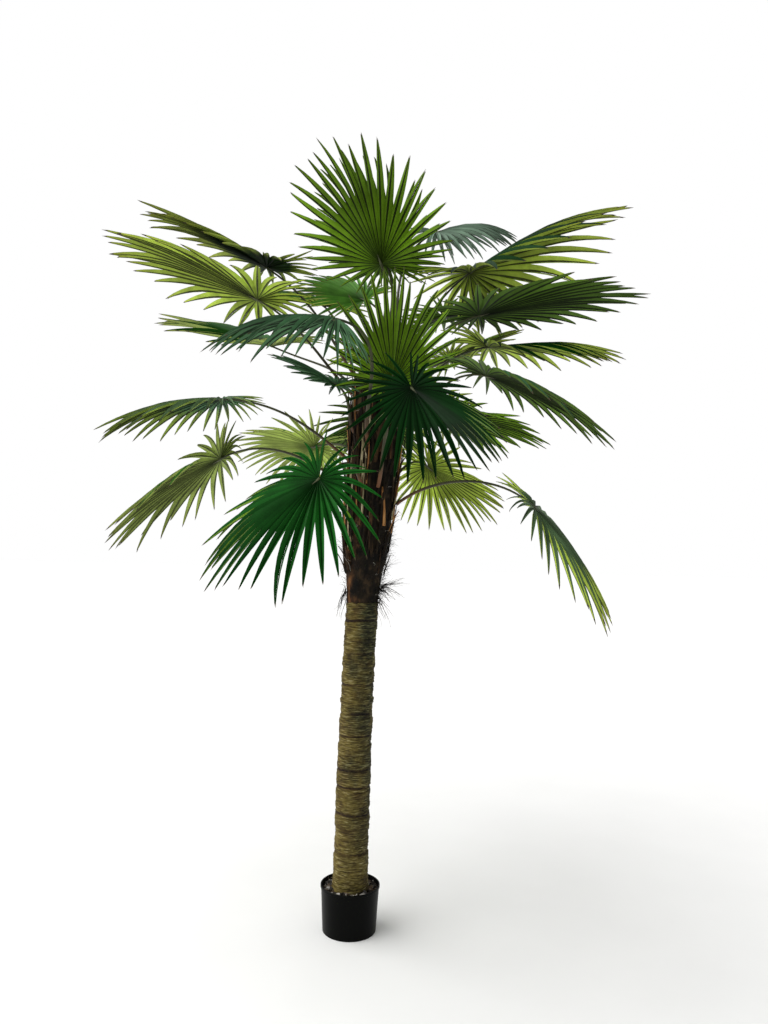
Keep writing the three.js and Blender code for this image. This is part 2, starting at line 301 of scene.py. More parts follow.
# Leaflet rows as shares of the joined and free length, columns as shares from margin to rib
WEB_ROWS = (0.02, 0.30, 0.65, 1.0)
FREE_ROWS = (0.20, 0.40, 0.60, 0.78, 0.92)
PLEAT_PLACES = (1.0, 0.27, 0.0)
PLEAT_HEIGHTS = (0.25, -0.15, -0.29)
LEAF_THICKNESS = 0.0009
THICKNESS_SHARES = (0.5, 1.0, 1.2)
TIP_POWER = 2.4
TIP_ROUNDNESS = 0.75
TIP_TAPER = 0.28
PRONG_THICKNESS = 0.3
PRONG_PLACE = 0.3
PRONG_ASIDE = 0.5

# How leaflets differ, angles in degrees, and how fast that grows toward the tip
CENTRE_SCATTER = 0.5
REACH_RANGE = (0.93, 1.03)
DROOP_RANGE = (0.3, 1.7)
STRAY_SCATTER = 0.018
SWAY_SCATTER = 1.3
PRONG_RANGE = (0.975, 1.0)
SWAY_POWER = 2
STRAY_POWER = 1.5
DROOP_POWER = 1.7

# Fronds, metres and degrees: aim is azimuth, elevation, roll; base and tilt are the stem's, lift the rear's
Frond = namedtuple("Frond", "hub aim length fold curl base tilt lift droop top under")
FRONDS = [Frond(*row) for row in [
    ((0.060, -0.120, 2.450), (238, 48, 8), 0.490, 5, 12, 2.100, 5, 50, 0.02, "mid", "green"),
    ((0.080, 0.120, 2.530), (225, 60, 5), 0.460, 5, 15, 2.120, 10, 50, 0.02, "mid", "green"),
    ((-0.391, 0.100, 2.500), (183, 32, -8), 0.560, 2, 20, 2.060, 35, 50, 0.04, "dawn", "dawn"),
    ((-0.400, -0.050, 2.330), (180, 27, 3), 0.630, 0, 15, 1.990, 45, 50, 0.04, "mid", "lime"),
    ((-0.410, 0.450, 2.270), (165, 24, -14), 0.580, 3, 15, 2.000, 45, 50, 0.04, "mid", "pale"),
    ((-0.076, -0.492, 2.147), (195, 5, -7), 0.440, -3, 38, 1.800, 55, -35, 0.08, "teal_sheen", "jade"),
    ((-0.092, -0.120, 2.005), (205, 25, -25), 0.280, 0, 10, 1.840, 40, 50, 0.04, "teal_sheen", "jade"),
    ((-0.531, 0.000, 1.963), (187, -1, -1), 0.480, -4, 33, 1.745, 50, 10, 0.04, "sage_sheen", "shore"),
    ((-0.540, 0.050, 1.740), (175, -30, 2), 0.530, 0, 15, 1.640, 50, 50, 0.08, "mid", "meadow"),
    ((-0.210, 0.410, 1.835), (140, -5, 28), 0.420, 0, 10, 1.730, 45, 50, 0.06, "mid", "pale"),
    ((-0.120, -0.450, 1.640), (220, -35, -20), 0.490, -8, 20, 1.640, 45, 50, 0.08, "deep", "green"),
    ((0.110, -0.200, 2.000), (275, 68, 0), 0.410, 10, 10, 1.740, 25, 50, 0.02, "mid", "green"),
    ((0.170, -0.505, 1.930), (300, -32, 18), 0.430, -15, 20, 1.640, 45, 50, 0.05, "night", "olive"),
    ((0.390, -0.050, 2.450), (355, 37, -5), 0.640, -20, 26, 2.080, 30, 50, 0.04, "night", "lime"),
    ((0.418, -0.150, 2.263), (345, 12, 3), 0.590, 3, 12, 2.020, 40, 15, 0.03, "night", "dusk"),
    ((0.490, 0.150, 2.220), (5, 10, 8), 0.560, -5, 17, 1.960, 45, 50, 0.06, "deep", "lime"),
    ((0.360, 0.440, 2.230), (30, 28, -12), 0.400, 0, 10, 2.030, 40, 50, 0.04, "fresh", "lime"),
    ((0.448, -0.145, 2.046), (338, -16, -3), 0.530, 5, 25, 1.860, 45, 10, 0.05, "teal_sheen", "olive"),
    ((0.360, 0.245, 1.955), (15, -8, -6), 0.430, 0, 10, 1.845, 45, 50, 0.04, "deep", "green"),
    ((0.270, 0.300, 1.750), (43, -26, -15), 0.430, -13, 10, 1.640, 45, 50, 0.06, "mid", "lime"),
    ((0.660, 0.000, 1.580), (20, -40, 30), 0.540, 0, 15, 1.580, 50, 0, 0.08, "sage_sheen", "lime"),
    ((0.285, 0.370, 2.758), (355, 25, 15), 0.380, -15, 55, 2.120, 38, 50, 0.05, "silver_sheen", "silver_sheen"),
    ((-0.010, 0.320, 2.445), (165, 25, -38), 0.350, 0, 10, 2.040, 35, 50, 0.04, "fresh", "lime"),
    ((-0.200, 0.550, 2.480), (120, 30, 0), 0.440, 0, 15, 1.960, 45, 50, 0.04, "mid", "lime"),
    ((0.330, 0.460, 2.420), (50, 20, -5), 0.460, 0, 15, 2.075, 42, 50, 0.05, "teal_sheen", "green"),
    ((0.060, 0.472, 2.255), (86, 18, 0), 0.405, -5, 20, 1.990, 35, 50, 0.04, "mid", "lime"),
    ((0.050, 0.500, 1.980), (95, -8, 0), 0.520, -15, 20, 1.800, 45, 50, 0.04, "deep", "olive"),
    ((0.280, 0.540, 2.060), (62, 0, 0), 0.480, -10, 20, 1.900, 45, 50, 0.04, "mid", "lime"),
]]

# Leaf tints, linear, each with the share of it that the ribs keep, which paints shade into the fold along
# each rib, and tints of some blades' outer half
TOP_TINTS = {
    # Night and dawn are darker copies of the top colour: painted shade for blades in the crown's shadow
    "night": ((0.003, 0.036, 0.004), 0.4),
    "dawn": ((0.008, 0.050, 0.004), 0.4),
    "deep": ((0.011, 0.110, 0.012), 0.4),
    "mid": ((0.030, 0.140, 0.016), 0.4),
    # Teal, sage and silver are partly the leaf's own bluish green and partly painted sheen, the reflection of
    # the bright room
    "teal_sheen": ((0.055, 0.150, 0.062), 0.4),
    "sage_sheen": ((0.110, 0.190, 0.085), 0.4),
    "fresh": ((0.120, 0.330, 0.040), 0.4),
    "silver_sheen": ((0.190, 0.290, 0.205), 0.6),
}
# Under tints are partly the underside's own yellow-green and partly painted light, lightened for light
# shining through the thin leaf
UNDER_TINTS = {
    # Dusk and dawn are darker copies of the underside: painted shade for blades in the crown's shadow
    "dusk": ((0.085, 0.170, 0.020), 0.10),
    "dawn": ((0.020, 0.060, 0.008), 0.25),
    "jade": ((0.100, 0.230, 0.105), 0.12),
    "shore": ((0.100, 0.230, 0.105), 0.12),
    "olive": ((0.115, 0.210, 0.030), 0.12),
    "green": ((0.170, 0.330, 0.014), 0.06),
    "meadow": ((0.300, 0.390, 0.085), 0.20),
    "lime": ((0.500, 0.660, 0.085), 0.10),
    "pale": ((0.520, 0.660, 0.160), 0.45),
    # Silver is partly the underside's own colour and partly painted sheen, the reflection of the bright room
    "silver_sheen": ((0.240, 0.350, 0.250), 0.50),
}
# Outer tints lighten a blade's outer half; for dawn this is painted light where the blade reaches out of its
# painted shade
OUTER_TINTS = {"dawn": (0.400, 0.500, 0.080), "shore": (0.280, 0.400, 0.060)}
TIP_TINT = (0.080, 0.075, 0.035)

# Leaf looks: tints, roughness and specular level of both sides, and the shades of each tint
LEAF_SIDES = {"top": (TOP_TINTS, 0.48, 0.08), "under": (UNDER_TINTS, 0.60, 0.12)}
# The core's copy of each tint is darker: painted shade where the middle leaflets overlap
LEAF_SHADES = {"full": 1.0, "shaded": 0.75, "core_shade": 0.60}
FULL, SHADED, CORE_SHADE, RIB_SHADE = range(4)
CORE_HALF_ANGLE = 38
CORE_RANGE = (0.6, 1.2)
FULL_SHARE = 0.65
MOTTLE_DARK = 0.70
MOTTLE_LIGHT = 1.25

# Plain looks: colour, roughness, and the scale and depth of the grain
PLAIN_LOOKS = {
    "pot_plastic": ((0.0012, 0.0014, 0.0011), 0.38, 300.0, 0.0002),
    "fill_dark": ((0.030, 0.024, 0.018), 0.85, 45.0, 0.004),
    "chip_grey": ((0.36, 0.34, 0.31), 0.45, 80.0, 0.001),
    "chip_brown": ((0.10, 0.070, 0.045), 0.6, 80.0, 0.001),
    "chip_dark": ((0.020, 0.016, 0.013), 0.6, 80.0, 0.001),
    "dark_fibre": ((0.008, 0.005, 0.003), 0.7, 60.0, 0.0005),
    "pale_fibre": ((0.450, 0.430, 0.380), 0.6, 60.0, 0.0005),
    "floor_paint": ((0.955, 0.952, 0.943), 0.7, 3.0, 0.0002),
}


# Meshes

class Pile:
    """Points and faces of one kind, gathered into one mesh object."""

    def __init__(self):
        self.points, self.faces, self.slots, self.uvs = [], [], [], []
        self.count = 0

    def add(self, points, faces, slot=0, uv=None):
        points = np.asarray(points, float).reshape(-1, 3)
        self.points.append(points)
        self.faces += [[int(corner) + self.count for corner in face] for face in faces]
        self.slots += [slot] * len(faces) if np.isscalar(slot) else list(slot)
        self.uvs.append(np.zeros((len(points), 2)) if uv is None else np.asarray(uv, float).reshape(-1, 2))
        self.count += len(points)

    def build(self, name, materials, smooth=True):
        mesh = bpy.data.meshes.new(name)
        mesh.from_pydata(np.concatenate(self.points).tolist(), [], self.faces)
        for made in materials:
            mesh.materials.append(made)
        mesh.polygons.foreach_set("material_index", self.slots)
        mesh.polygons.foreach_set("use_smooth", [smooth] * len(self.faces))
        corners = np.zeros(len(mesh.loops), int)
        mesh.loops.foreach_get("vertex_index", corners)
        layer = mesh.uv_layers.new(name="UVMap")
        layer.data.foreach_set("uv", np.concatenate(self.uvs)[corners].ravel())
        mesh.update()
        piece = bpy.data.objects.new(name, mesh)
        bpy.context.scene.collection.objects.link(piece)
        return piece


def dress(piece, slot, *nodes):
    """A piece on the plant's only body, in place of the named CAD nodes. The slot is not used."""
    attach(piece, "root")
    if nodes:
        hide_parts(*nodes)


def set_values(piece, name, values):
    """A number for each point of the mesh, which its material reads by name."""
    layer = piece.data.attributes.new(name, "FLOAT", "POINT")
    layer.data.foreach_set("value", np.asarray(values, float).ravel())


def unit(vectors):
    return vectors / np.linalg.norm(vectors, axis=-1, keepdims=True)


def turns(count):
    """Equal steps round a full turn, in radians."""
    return np.linspace(0, FULL_TURN, count, endpoint=False)


def grid_faces(rows, columns, closed=False):
    """Quads over a grid of points; closed joins the last column to the first."""
    across = columns if closed else columns - 1
    row, column = np.meshgrid(np.arange(rows - 1), np.arange(across), indexing="ij")
    here = row * columns + column
    side = row * columns + (column + 1) % columns
    return np.stack([here, side, side + columns, here + columns], -1).reshape(-1, 4)


def tube(path, radii, sides, flat=1.0):
    """Points and faces of a tube along a path, its rings carried along without twist."""
    ahead = unit(np.gradient(path, axis=0))
    across = np.cross(ahead[0], UPWARD)
    turn = turns(sides)
    rings = []
    for point, forward, radius in zip(path, ahead, radii):
        across = unit(across - forward * (across @ forward))
        along = np.cross(forward, across)
        rings.append(point + radius * (np.outer(np.cos(turn), across) + flat * np.outer(np.sin(turn), along)))
    return np.concatenate(rings), grid_faces(len(path), sides, closed=True)


def bezier(start, first, second, end, steps):
    t = np.linspace(0, 1, steps)[:, None]
    return (1 - t) ** 3 * start + 3 * (1 - t) ** 2 * t * first + 3 * (1 - t) * t * t * second + t ** 3 * end


def ripple(seed, grid, row_step, column_step):
    """Smooth noise on a grid, about -1 to 1, that meets itself round the columns."""
    rows, columns = grid
    rng = np.random.default_rng(seed)
    tall = max(2, int(math.ceil(rows / row_step)) + 2)
    wide = max(3, int(round(columns / column_step)))
    coarse = rng.uniform(-1, 1, (tall, wide))
    row = np.arange(rows) / row_step
    column = np.arange(columns) * wide / columns
    below, left = row.astype(int), column.astype(int)
    right = (left + 1) % wide
    rise, run = row - below, column - left
    rise, run = rise * rise * (3 - 2 * rise), run * run * (3 - 2 * run)
    low = coarse[below][:, left] * (1 - run) + coarse[below][:, right] * run
    high = coarse[below + 1][:, left] * (1 - run) + coarse[below + 1][:, right] * run
    return low * (1 - rise[:, None]) + high * rise[:, None]


def wave(name, grid):
    weight, seed, row_step, column_step = WAVES[name]
    return weight * ripple(seed, grid, row_step, column_step)


def either(rng, share, often, seldom):
    """A draw from one range in that share of the cases, and from another in the rest."""
    return rng.uniform(*often) if rng.uniform() < share else rng.uniform(*seldom)


# Materials

class Look:
    """A material in the making, and the kinds of nodes that it is made of."""

    def __init__(self, name, roughness, specular):
        self.material = bpy.data.materials.new(name)
        self.material.use_nodes = True
        self.nodes = self.material.node_tree.nodes
        self.links = self.material.node_tree.links
        self.place = self.nodes.new("ShaderNodeTexCoord")
        self.shader = self.nodes["Principled BSDF"]
        self.shader.inputs["Roughness"].default_value = roughness
        self.shader.inputs["Specular IOR Level"].default_value = specular

    def noise(self, scale, stretch=(1, 1, 1), detail=4.0, over="Object"):
        mapping = self.nodes.new("ShaderNodeMapping")
        mapping.inputs["Scale"].default_value = stretch
        self.links.new(self.place.outputs[over], mapping.inputs["Vector"])
        made = self.nodes.new("ShaderNodeTexNoise")
        made.inputs["Scale"].default_value = scale
        made.inputs["Detail"].default_value = detail
        self.links.new(mapping.outputs["Vector"], made.inputs["Vector"])
        return made.outputs["Fac"]

    def length(self):
        """How far along the piece a point lies, from 0 to 1."""
        split = self.nodes.new("ShaderNodeSeparateXYZ")
        self.links.new(self.place.outputs["UV"], split.inputs["Vector"])
        return split.outputs["Y"]

    def values(self, name):
        """What set_values wrote under this name."""
        made = self.nodes.new("ShaderNodeAttribute")
        made.attribute_name = name
        return made.outputs["Fac"]

    def ramp(self, value, stops):
        made = self.nodes.new("ShaderNodeValToRGB")
        elements = made.color_ramp.elements
        while len(elements) < len(stops):
            elements.new(0.5)
        for element, (position, colour) in zip(elements, stops):
            element.position = position
            element.color = (*colour, 1)
        self.links.new(value, made.inputs["Fac"])
        return made.outputs["Color"]

    def mix(self, first, second):
        made = self.nodes.new("ShaderNodeMix")
        made.data_type = "RGBA"
        self.links.new(first, made.inputs["A"])
        self.links.new(second, made.inputs["B"])
        return made

    def multiplied(self, first, second):
        mix = self.mix(first, second)
        mix.blend_type = "MULTIPLY"
        mix.inputs["Factor"].default_value = 1.0
        return mix.outputs["Result"]

    def blended(self, factor, first, second):
        mix = self.mix(first, second)
        self.links.new(factor, mix.inputs["Factor"])
        return mix.outputs["Result"]

    def finished(self, colour, height, strength, depth):
        """The material with this colour and with a bump from this height."""
        bump = self.nodes.new("ShaderNodeBump")
        bump.inputs["Strength"].default_value = strength
        bump.inputs["Distance"].default_value = depth
        self.links.new(height, bump.inputs["Height"])
        self.links.new(bump.outputs["Normal"], self.shader.inputs["Normal"])
        self.links.new(colour, self.shader.inputs["Base Color"])
        return self.material


def scaled(colour, factor):
    return tuple(min(1.0, part * factor) for part in colour)


def leaf_material(name, colour, roughness, specular, outer=None):
    """Leaf colour with faint mottling, painted shade darkening it toward the hub, browner tips, and fine
    veins.
    """
    look = Look(name, roughness, specular)
    mottle = look.noise(scale=12.0, detail=3.0)
    length = look.length()
    tone = look.ramp(mottle, [
        (0.30, scaled(colour, MOTTLE_DARK)),
        (0.52, colour),
        (0.75, scaled(colour, MOTTLE_LIGHT)),
    ])
    if outer:
        bright = look.ramp(mottle, [(0.30, scaled(outer, MOTTLE_DARK)), (0.75, scaled(outer, MOTTLE_LIGHT))])
        change = look.ramp(length, [(0.42, (0, 0, 0)), (0.66, (1, 1, 1))])
        tone = look.blended(change, tone, bright)
    # Along the leaflet: painted shade toward the hub, and the tips' own browner colour
    along = look.ramp(length, [
        (0.00, (0.18, 0.18, 0.18)),
        (0.16, (0.60, 0.62, 0.60)),
        (0.34, (1.00, 1.00, 1.00)),
        (0.82, (1.00, 1.00, 1.00)),
        (1.00, (0.92, 0.78, 0.80)),
    ])
    veins = look.noise(scale=1.0, stretch=(14.0, 1.2, 1.0), detail=1.0, over="UV")
    return look.finished(look.multiplied(tone, along), veins, strength=0.5, depth=0.0006)


def stem_material():
    """Rusty brown at the foot of the stem and dark olive beyond."""
    look = Look("frond_stem", roughness=0.45, specular=0.3)
    mottle = look.noise(scale=22.0, stretch=(1, 1, 0.4))
    tone = look.ramp(mottle, [
        (0.32, (0.35, 0.35, 0.35)),
        (0.50, (0.80, 0.80, 0.80)),
        (0.72, (1.00, 1.00, 1.00)),
    ])
    along = look.ramp(look.length(), [
        (0.05, (0.150, 0.060, 0.022)),
        (0.22, (0.050, 0.045, 0.018)),
        (0.80, (0.050, 0.062, 0.016)),
        (0.92, (0.100, 0.110, 0.050)),
    ])
    return look.finished(look.multiplied(tone, along), mottle, strength=0.3, depth=0.002)


def bark_material():
    """Olive tan wraps with painted shade in the red-brown hollows, and a darker, greener side that is partly
    weathering and partly painted shade.
    """
    look = Look("trunk_bark", roughness=0.78, specular=0.25)
    wraps = look.noise(scale=9.0, stretch=(3.6, 3.6, 32.0), detail=8.0)
    blotch = look.noise(scale=14.0, stretch=(1.0, 1.0, 1.6), detail=3.0)
    tone = look.ramp(wraps, [
        (0.32, (0.045, 0.028, 0.005)),
        (0.44, (0.110, 0.082, 0.015)),
        (0.56, (0.190, 0.148, 0.034)),
        (0.72, (0.400, 0.350, 0.180)),
    ])
    patches = look.ramp(blotch, [
        (0.34, (0.55, 0.46, 0.40)),
        (0.50, (0.90, 0.90, 0.85)),
        (0.66, (1.00, 1.00, 1.00)),
    ])
    # The darker, greener side: partly weathering, partly painted shade away from the light
    weathered_and_shaded = look.ramp(wraps, [
        (0.36, (0.003, 0.004, 0.001)),
        (0.50, (0.028, 0.030, 0.009)),
        (0.62, (0.095, 0.098, 0.042)),
        (0.74, (0.260, 0.260, 0.160)),
    ])
    tone = look.blended(look.values("moss_and_shade"), look.multiplied(tone, patches), weathered_and_shaded)
    # Painted light and shade from the relief values: lighter crests, darker red-brown hollows
    shade = look.ramp(look.values("relief"), [
        (0.05, (0.110, 0.050, 0.025)),
        (0.40, (0.480, 0.400, 0.280)),
        (0.80, (1.0, 1.0, 1.0)),
    ])
    return look.finished(look.multiplied(tone, shade), wraps, strength=0.7, depth=0.004)


def sleeve_material():
    """Matted fibre, rusty where the sheath is fresh and lit and nearly black elsewhere: partly its own
    colours, partly painted light and shade.
    """
    look = Look("husk_sleeve", roughness=0.80, specular=0.15)
    fibres = look.noise(scale=26.0, stretch=(1.5, 1.5, 0.9), detail=8.0)
    dark = look.ramp(fibres, [
        (0.36, (0.002, 0.0015, 0.001)),
        (0.54, (0.009, 0.006, 0.003)),
        (0.72, (0.045, 0.028, 0.014)),
    ])
    rusty_and_lit = look.ramp(fibres, [
        (0.38, (0.006, 0.003, 0.001)),
        (0.52, (0.050, 0.022, 0.008)),
        (0.68, (0.200, 0.085, 0.028)),
    ])
    return look.finished(look.blended(look.values("rust_and_light"), dark, rusty_and_lit), fibres, strength=0.7, depth=0.004)


def strip_material(name, dark, middle, light):
    """Long upright fibre in three shades of one colour."""
    look = Look(name, roughness=0.82, specular=0.15)
    fibres = look.noise(scale=30.0, stretch=(3.0, 3.0, 0.35), detail=6.0)
    tone = look.ramp(fibres, [(0.34, dark), (0.52, middle), (0.70, light)])
    return look.finished(tone, fibres, strength=0.7, depth=0.004)


def plain_material(name, spread=0.3, specular=0.25):
    """One of the plain looks: a colour that its grain darkens and lightens by the spread."""
    colour, roughness, grain_scale, grain_depth = PLAIN_LOOKS[name]
    look = Look(name, roughness, specular)
    grain = look.noise(grain_scale)
    tone = look.ramp(grain, [(0.35, scaled(colour, 1 - spread)), (0.65, scaled(colour, 1 + spread))])
    return look.finished(tone, grain, strength=0.25, depth=grain_depth)


# Pot and fill

def pot_radius(z):
    return POT_FOOT_RADIUS + (POT_TOP_RADIUS - POT_FOOT_RADIUS) * z / POT_HEIGHT


def pot_profile():
    """The pot's section, from under its middle to its inner floor, as pairs of radius and height."""
    lip = POT_HEIGHT - POT_LIP_HEIGHT
    inner = POT_TOP_RADIUS - POT_WALL
    return [
        (0.0, POT_BOTTOM_LIFT),
        (POT_FOOT_RADIUS - POT_RING_WIDTH - POT_RING_SLOPE, POT_BOTTOM_LIFT),
        (POT_FOOT_RADIUS - POT_RING_WIDTH, 0.0),
        (POT_FOOT_RADIUS - POT_EDGE, 0.0),
        (pot_radius(POT_EDGE), POT_ROUNDING),
        (pot_radius(POT_BOTTOM_LIFT), POT_BOTTOM_LIFT),
        (pot_radius(lip), lip),
        (POT_LIP_RADIUS - POT_ROUNDING, lip + POT_LIP_SLOPE),
        (POT_LIP_RADIUS, lip + POT_LIP_SLOPE + POT_ROUNDING),
        (POT_LIP_RADIUS, POT_HEIGHT - POT_ROUNDING),
        (POT_LIP_RADIUS - POT_EDGE, POT_HEIGHT),
        (inner + POT_ROUNDING / 2, POT_HEIGHT),
        (inner, POT_HEIGHT - POT_EDGE),
        (pot_radius(POT_FLOOR_HEIGHT) - POT_WALL, POT_FLOOR_HEIGHT),
        (0.0, POT_FLOOR_HEIGHT - POT_FLOOR_DIP),
    ]


def add_pot():
    profile = pot_profile()
    circle = [(math.cos(turn), math.sin(turn)) for turn in turns(POT_COLUMNS)]
    rings = [[(radius * x, radius * y, z) for x, y in circle] for radius, z in profile]
    pile = Pile()
    pile.add(rings, grid_faces(len(profile), POT_COLUMNS, closed=True))
    shell = pile.build("pot_shell", [plain_material("pot_plastic", specular=0.06)])
    shell.data.set_sharp_from_angle(angle=POT_CRISP_ANGLE * RAD)
    dress(shell, "pot", "pot")


def add_fill():
    outer = pot_radius(FILL_TOP) - POT_WALL - FILL_WALL_GAP
    radii = np.linspace(FILL_HOLE_RADIUS, outer, FILL_GRID[0])[:, None]
    turn = turns(FILL_GRID[1])
    height = FILL_TOP - FILL_SINK + wave("fill_swell", FILL_GRID) + wave("fill_lump", FILL_GRID)
    points = np.stack([radii * np.cos(turn), radii * np.sin(turn), height], -1)
    pile = Pile()
    pile.add(points, grid_faces(*FILL_GRID, closed=True)[:, ::-1])
    dress(pile.build("fill_bed", [plain_material("fill_dark")]), "fill", "fill")
    dress(add_chips(), "fill")


def chip_points(rng):
    """A small crinkled sheet, turned and tilted, that stays inside the pot."""
    turn = rng.uniform(0, FULL_TURN)
    radius = rng.uniform(*CHIP_PLACE)
    height = FILL_TOP + rng.uniform(*CHIP_LIFT)
    centre = np.array([radius * math.cos(turn), radius * math.sin(turn), height])
    size = rng.uniform(*CHIP_SIZE)
    flake = rng.normal(0, 1, (CHIP_SIDE, CHIP_SIDE, 3)) * size * CHIP_CRINKLE
    side = np.linspace(-size, size, CHIP_SIDE)
    flake[..., 0] += side[:, None]
    flake[..., 1] += side[None, :] * rng.uniform(*CHIP_WIDTH)
    spin = Matrix.Rotation(rng.uniform(*CHIP_SPIN), 3, "Z")
    spin = spin @ Matrix.Rotation(rng.normal(0, CHIP_TILT), 3, "X")
    flake = flake.reshape(-1, 3) @ np.array(spin).T + centre
    limit = pot_radius(FILL_TOP) - POT_WALL - CHIP_WALL_GAP
    flake[:, :2] *= np.minimum(1, limit / np.linalg.norm(flake[:, :2], axis=1, keepdims=True))
    return flake


def add_chips():
    """Crinkled pale and dark flakes that lie on the fill round the trunk's foot."""
    rng = np.random.default_rng(CHIP_SEED)
    shares = list(CHIP_SHARES.values())
    pile = Pile()
    for _ in range(CHIP_COUNT):
        flake = chip_points(rng)
        pile.add(flake, grid_faces(CHIP_SIDE, CHIP_SIDE), int(rng.choice(len(shares), p=shares)))
    return pile.build("fill_chips", [plain_material(name) for name in CHIP_SHARES], smooth=False)


# Trunk

def lean_at(z):
    """How far to the right the trunk's middle has moved at a height."""
    return LEAN * np.minimum(1.0, np.asarray(z, float) / LEAN_HEIGHT) ** LEAN_POWER


def around_trunk(turn, z, radius):
    """Points at turns and heights, that far from the trunk's leaning middle."""
    across = lean_at(z) + radius * np.cos(turn)
    return np.stack([across, radius * np.sin(turn), np.broadcast_to(z, radius.shape)], -1)


def trunk_radius(z):
    rise = (z - FILL_TOP) / (TRUNK_TOP - FILL_TOP)
    flare = np.maximum(0.0, 1 - (z - FILL_TOP) / TRUNK_FLARE_HEIGHT)
    taper = TRUNK_FOOT_RADIUS + (TRUNK_TOP_RADIUS - TRUNK_FOOT_RADIUS) * rise
    return taper + (TRUNK_FLARE_RADIUS - TRUNK_FOOT_RADIUS) * flare ** 2


def trunk_rings(z):
    """Scars of old leaves: narrow hollows at set heights, each only part of the way round."""
    level = z + wave("ring_level", BARK_GRID)
    hollows = np.zeros(BARK_GRID)
    for i, height in enumerate(RING_HEIGHTS):
        share = np.clip(RING_EVEN + RING_PATCHY * ripple(RING_SEED + i, BARK_GRID, *RING_STEPS), 0, 1)
        hollows = np.maximum(hollows, share * np.exp(-((level - height) / RING_WIDTH) ** 2))
    return hollows


def trunk_bands(z):
    """Overlapping wraps: each band stands out by its own amount, with a notch where two meet."""
    rng = np.random.default_rng(BAND_SEED)
    phase = z / BAND_PITCH + wave("band_drift", BARK_GRID) + wave("band_flutter", BARK_GRID)
    band = np.floor(phase).astype(int) - int(phase.min())
    share = phase - np.floor(phase)
    out = rng.uniform(*BAND_OUT, band.max() + 1)[band]
    notch = np.exp(-(np.minimum(share, 1 - share) * BAND_PITCH / NOTCH_WIDTH) ** 2)
    return out, notch * np.clip(NOTCH_EVEN + wave("notch_patch", BARK_GRID), 0, 1)


def trunk_moss_and_shade(turn):
    """How weathered and shaded the bark is, from 0 to 1, most of all on the side away from the light: partly
    weathering, partly painted shade.
    """
    moss_and_shade = np.cos(turn - MOSS_AND_SHADE_TURN) * MOSS_AND_SHADE_SIDE + wave("moss_patch", BARK_GRID)
    return np.clip(moss_and_shade + wave("moss_speck", BARK_GRID) + MOSS_LEAST, 0, 1)


def add_trunk():
    z = np.linspace(FILL_TOP - TRUNK_IN_FILL, TRUNK_TOP + TRUNK_IN_HUSK, BARK_GRID[0])[:, None]
    turn = turns(BARK_GRID[1])
    wander = wave("wrap_wander", BARK_GRID) + wave("wrap_flutter", BARK_GRID)
    wraps = 0.5 + 0.5 * np.cos(FULL_TURN * (z / WRAP_PITCH + wander))
    moss_and_shade = trunk_moss_and_shade(turn)
    strength = np.clip(WRAP_EVEN + wave("wrap_patch", BARK_GRID) + WRAP_ON_MOSS * moss_and_shade, WRAP_LEAST, 1)
    hollows = trunk_rings(z)
    bands, notches = trunk_bands(z)
    grain = wave("grain", BARK_GRID) * (GRAIN_EVEN + moss_and_shade)
    relief = WRAP_DEPTH * wraps * strength + GRAIN_DEPTH * grain
    relief = relief - RING_DEPTH * hollows + bands - NOTCH_DEPTH * notches + wave("swell", BARK_GRID)
    # The colour follows the relief: painted light on the crests, painted shade in the hollows and notches
    shade = EVEN_SHADE + WRAP_SHADE * (wraps - 0.5) * strength + GRAIN_SHADE * grain
    shade = shade - RING_SHADE * hollows - NOTCH_SHADE * notches
    pile = Pile()
    pile.add(around_trunk(turn, z, trunk_radius(z) + relief), grid_faces(*BARK_GRID, closed=True))
    bark = pile.build("trunk_bark", [bark_material()])
    # The relief values hold painted light and shade from the relief, with the ring scars' own darker colour
    set_values(bark, "relief", np.clip(shade, 0, 1))
    # The weathered side's values also carry painted shade on the side away from the light
    set_values(bark, "moss_and_shade", moss_and_shade * np.interp(z, MOSS_HEIGHTS, MOSS_SHARES))
    dress(bark, "trunk", "trunk")


# Husk

def husk_radius(z):
    heights, radii = zip(*HUSK_PROFILE)
    return np.interp(z, heights, radii)


def husk_point(turn, z, out):
    """Points at turns and heights, that far out from the sleeve."""
    return around_trunk(turn, z, husk_radius(z) + out)


def add_husk():
    rows, columns = HUSK_GRID
    z = np.linspace(TRUNK_TOP, HUSK_TOP, rows)[:, None]
    turn = turns(columns)
    relief = wave("husk_ridge", HUSK_GRID) + wave("husk_lump", HUSK_GRID)
    calm = np.interp(z, (SHEATH_TOP, SHEATH_TOP + SHEATH_BLEND), (SHEATH_RELIEF, 1.0))
    pile = Pile()
    pile.add(husk_point(turn, z, relief * calm - HUSK_INSET), grid_faces(*HUSK_GRID, closed=True))
    pile.add(husk_point(turn, np.full(columns, HUSK_TOP), -HUSK_INSET), [list(range(columns))])
    sleeve = pile.build("husk_sleeve", [sleeve_material()])
    patchy = wave("rust_patch", HUSK_GRID) + wave("rust_speck", HUSK_GRID)
    # More rust on the lit side: partly the fibre's own colour, partly painted light
    rust_and_light = np.clip(RUST_EVEN - RUST_SIDE * np.cos(turn - MOSS_AND_SHADE_TURN) + patchy, 0, 1)
    rust_and_light = rust_and_light * np.interp(z, (SHEATH_TOP, SHEATH_TOP + RUST_BLEND), (1.0, RUST_ABOVE))
    set_values(sleeve, "rust_and_light", np.append(rust_and_light, np.zeros(columns)))
    dress(sleeve, "husk", "husk")
    dress(add_strips(), "husk")
    dress(add_fibres(), "husk")


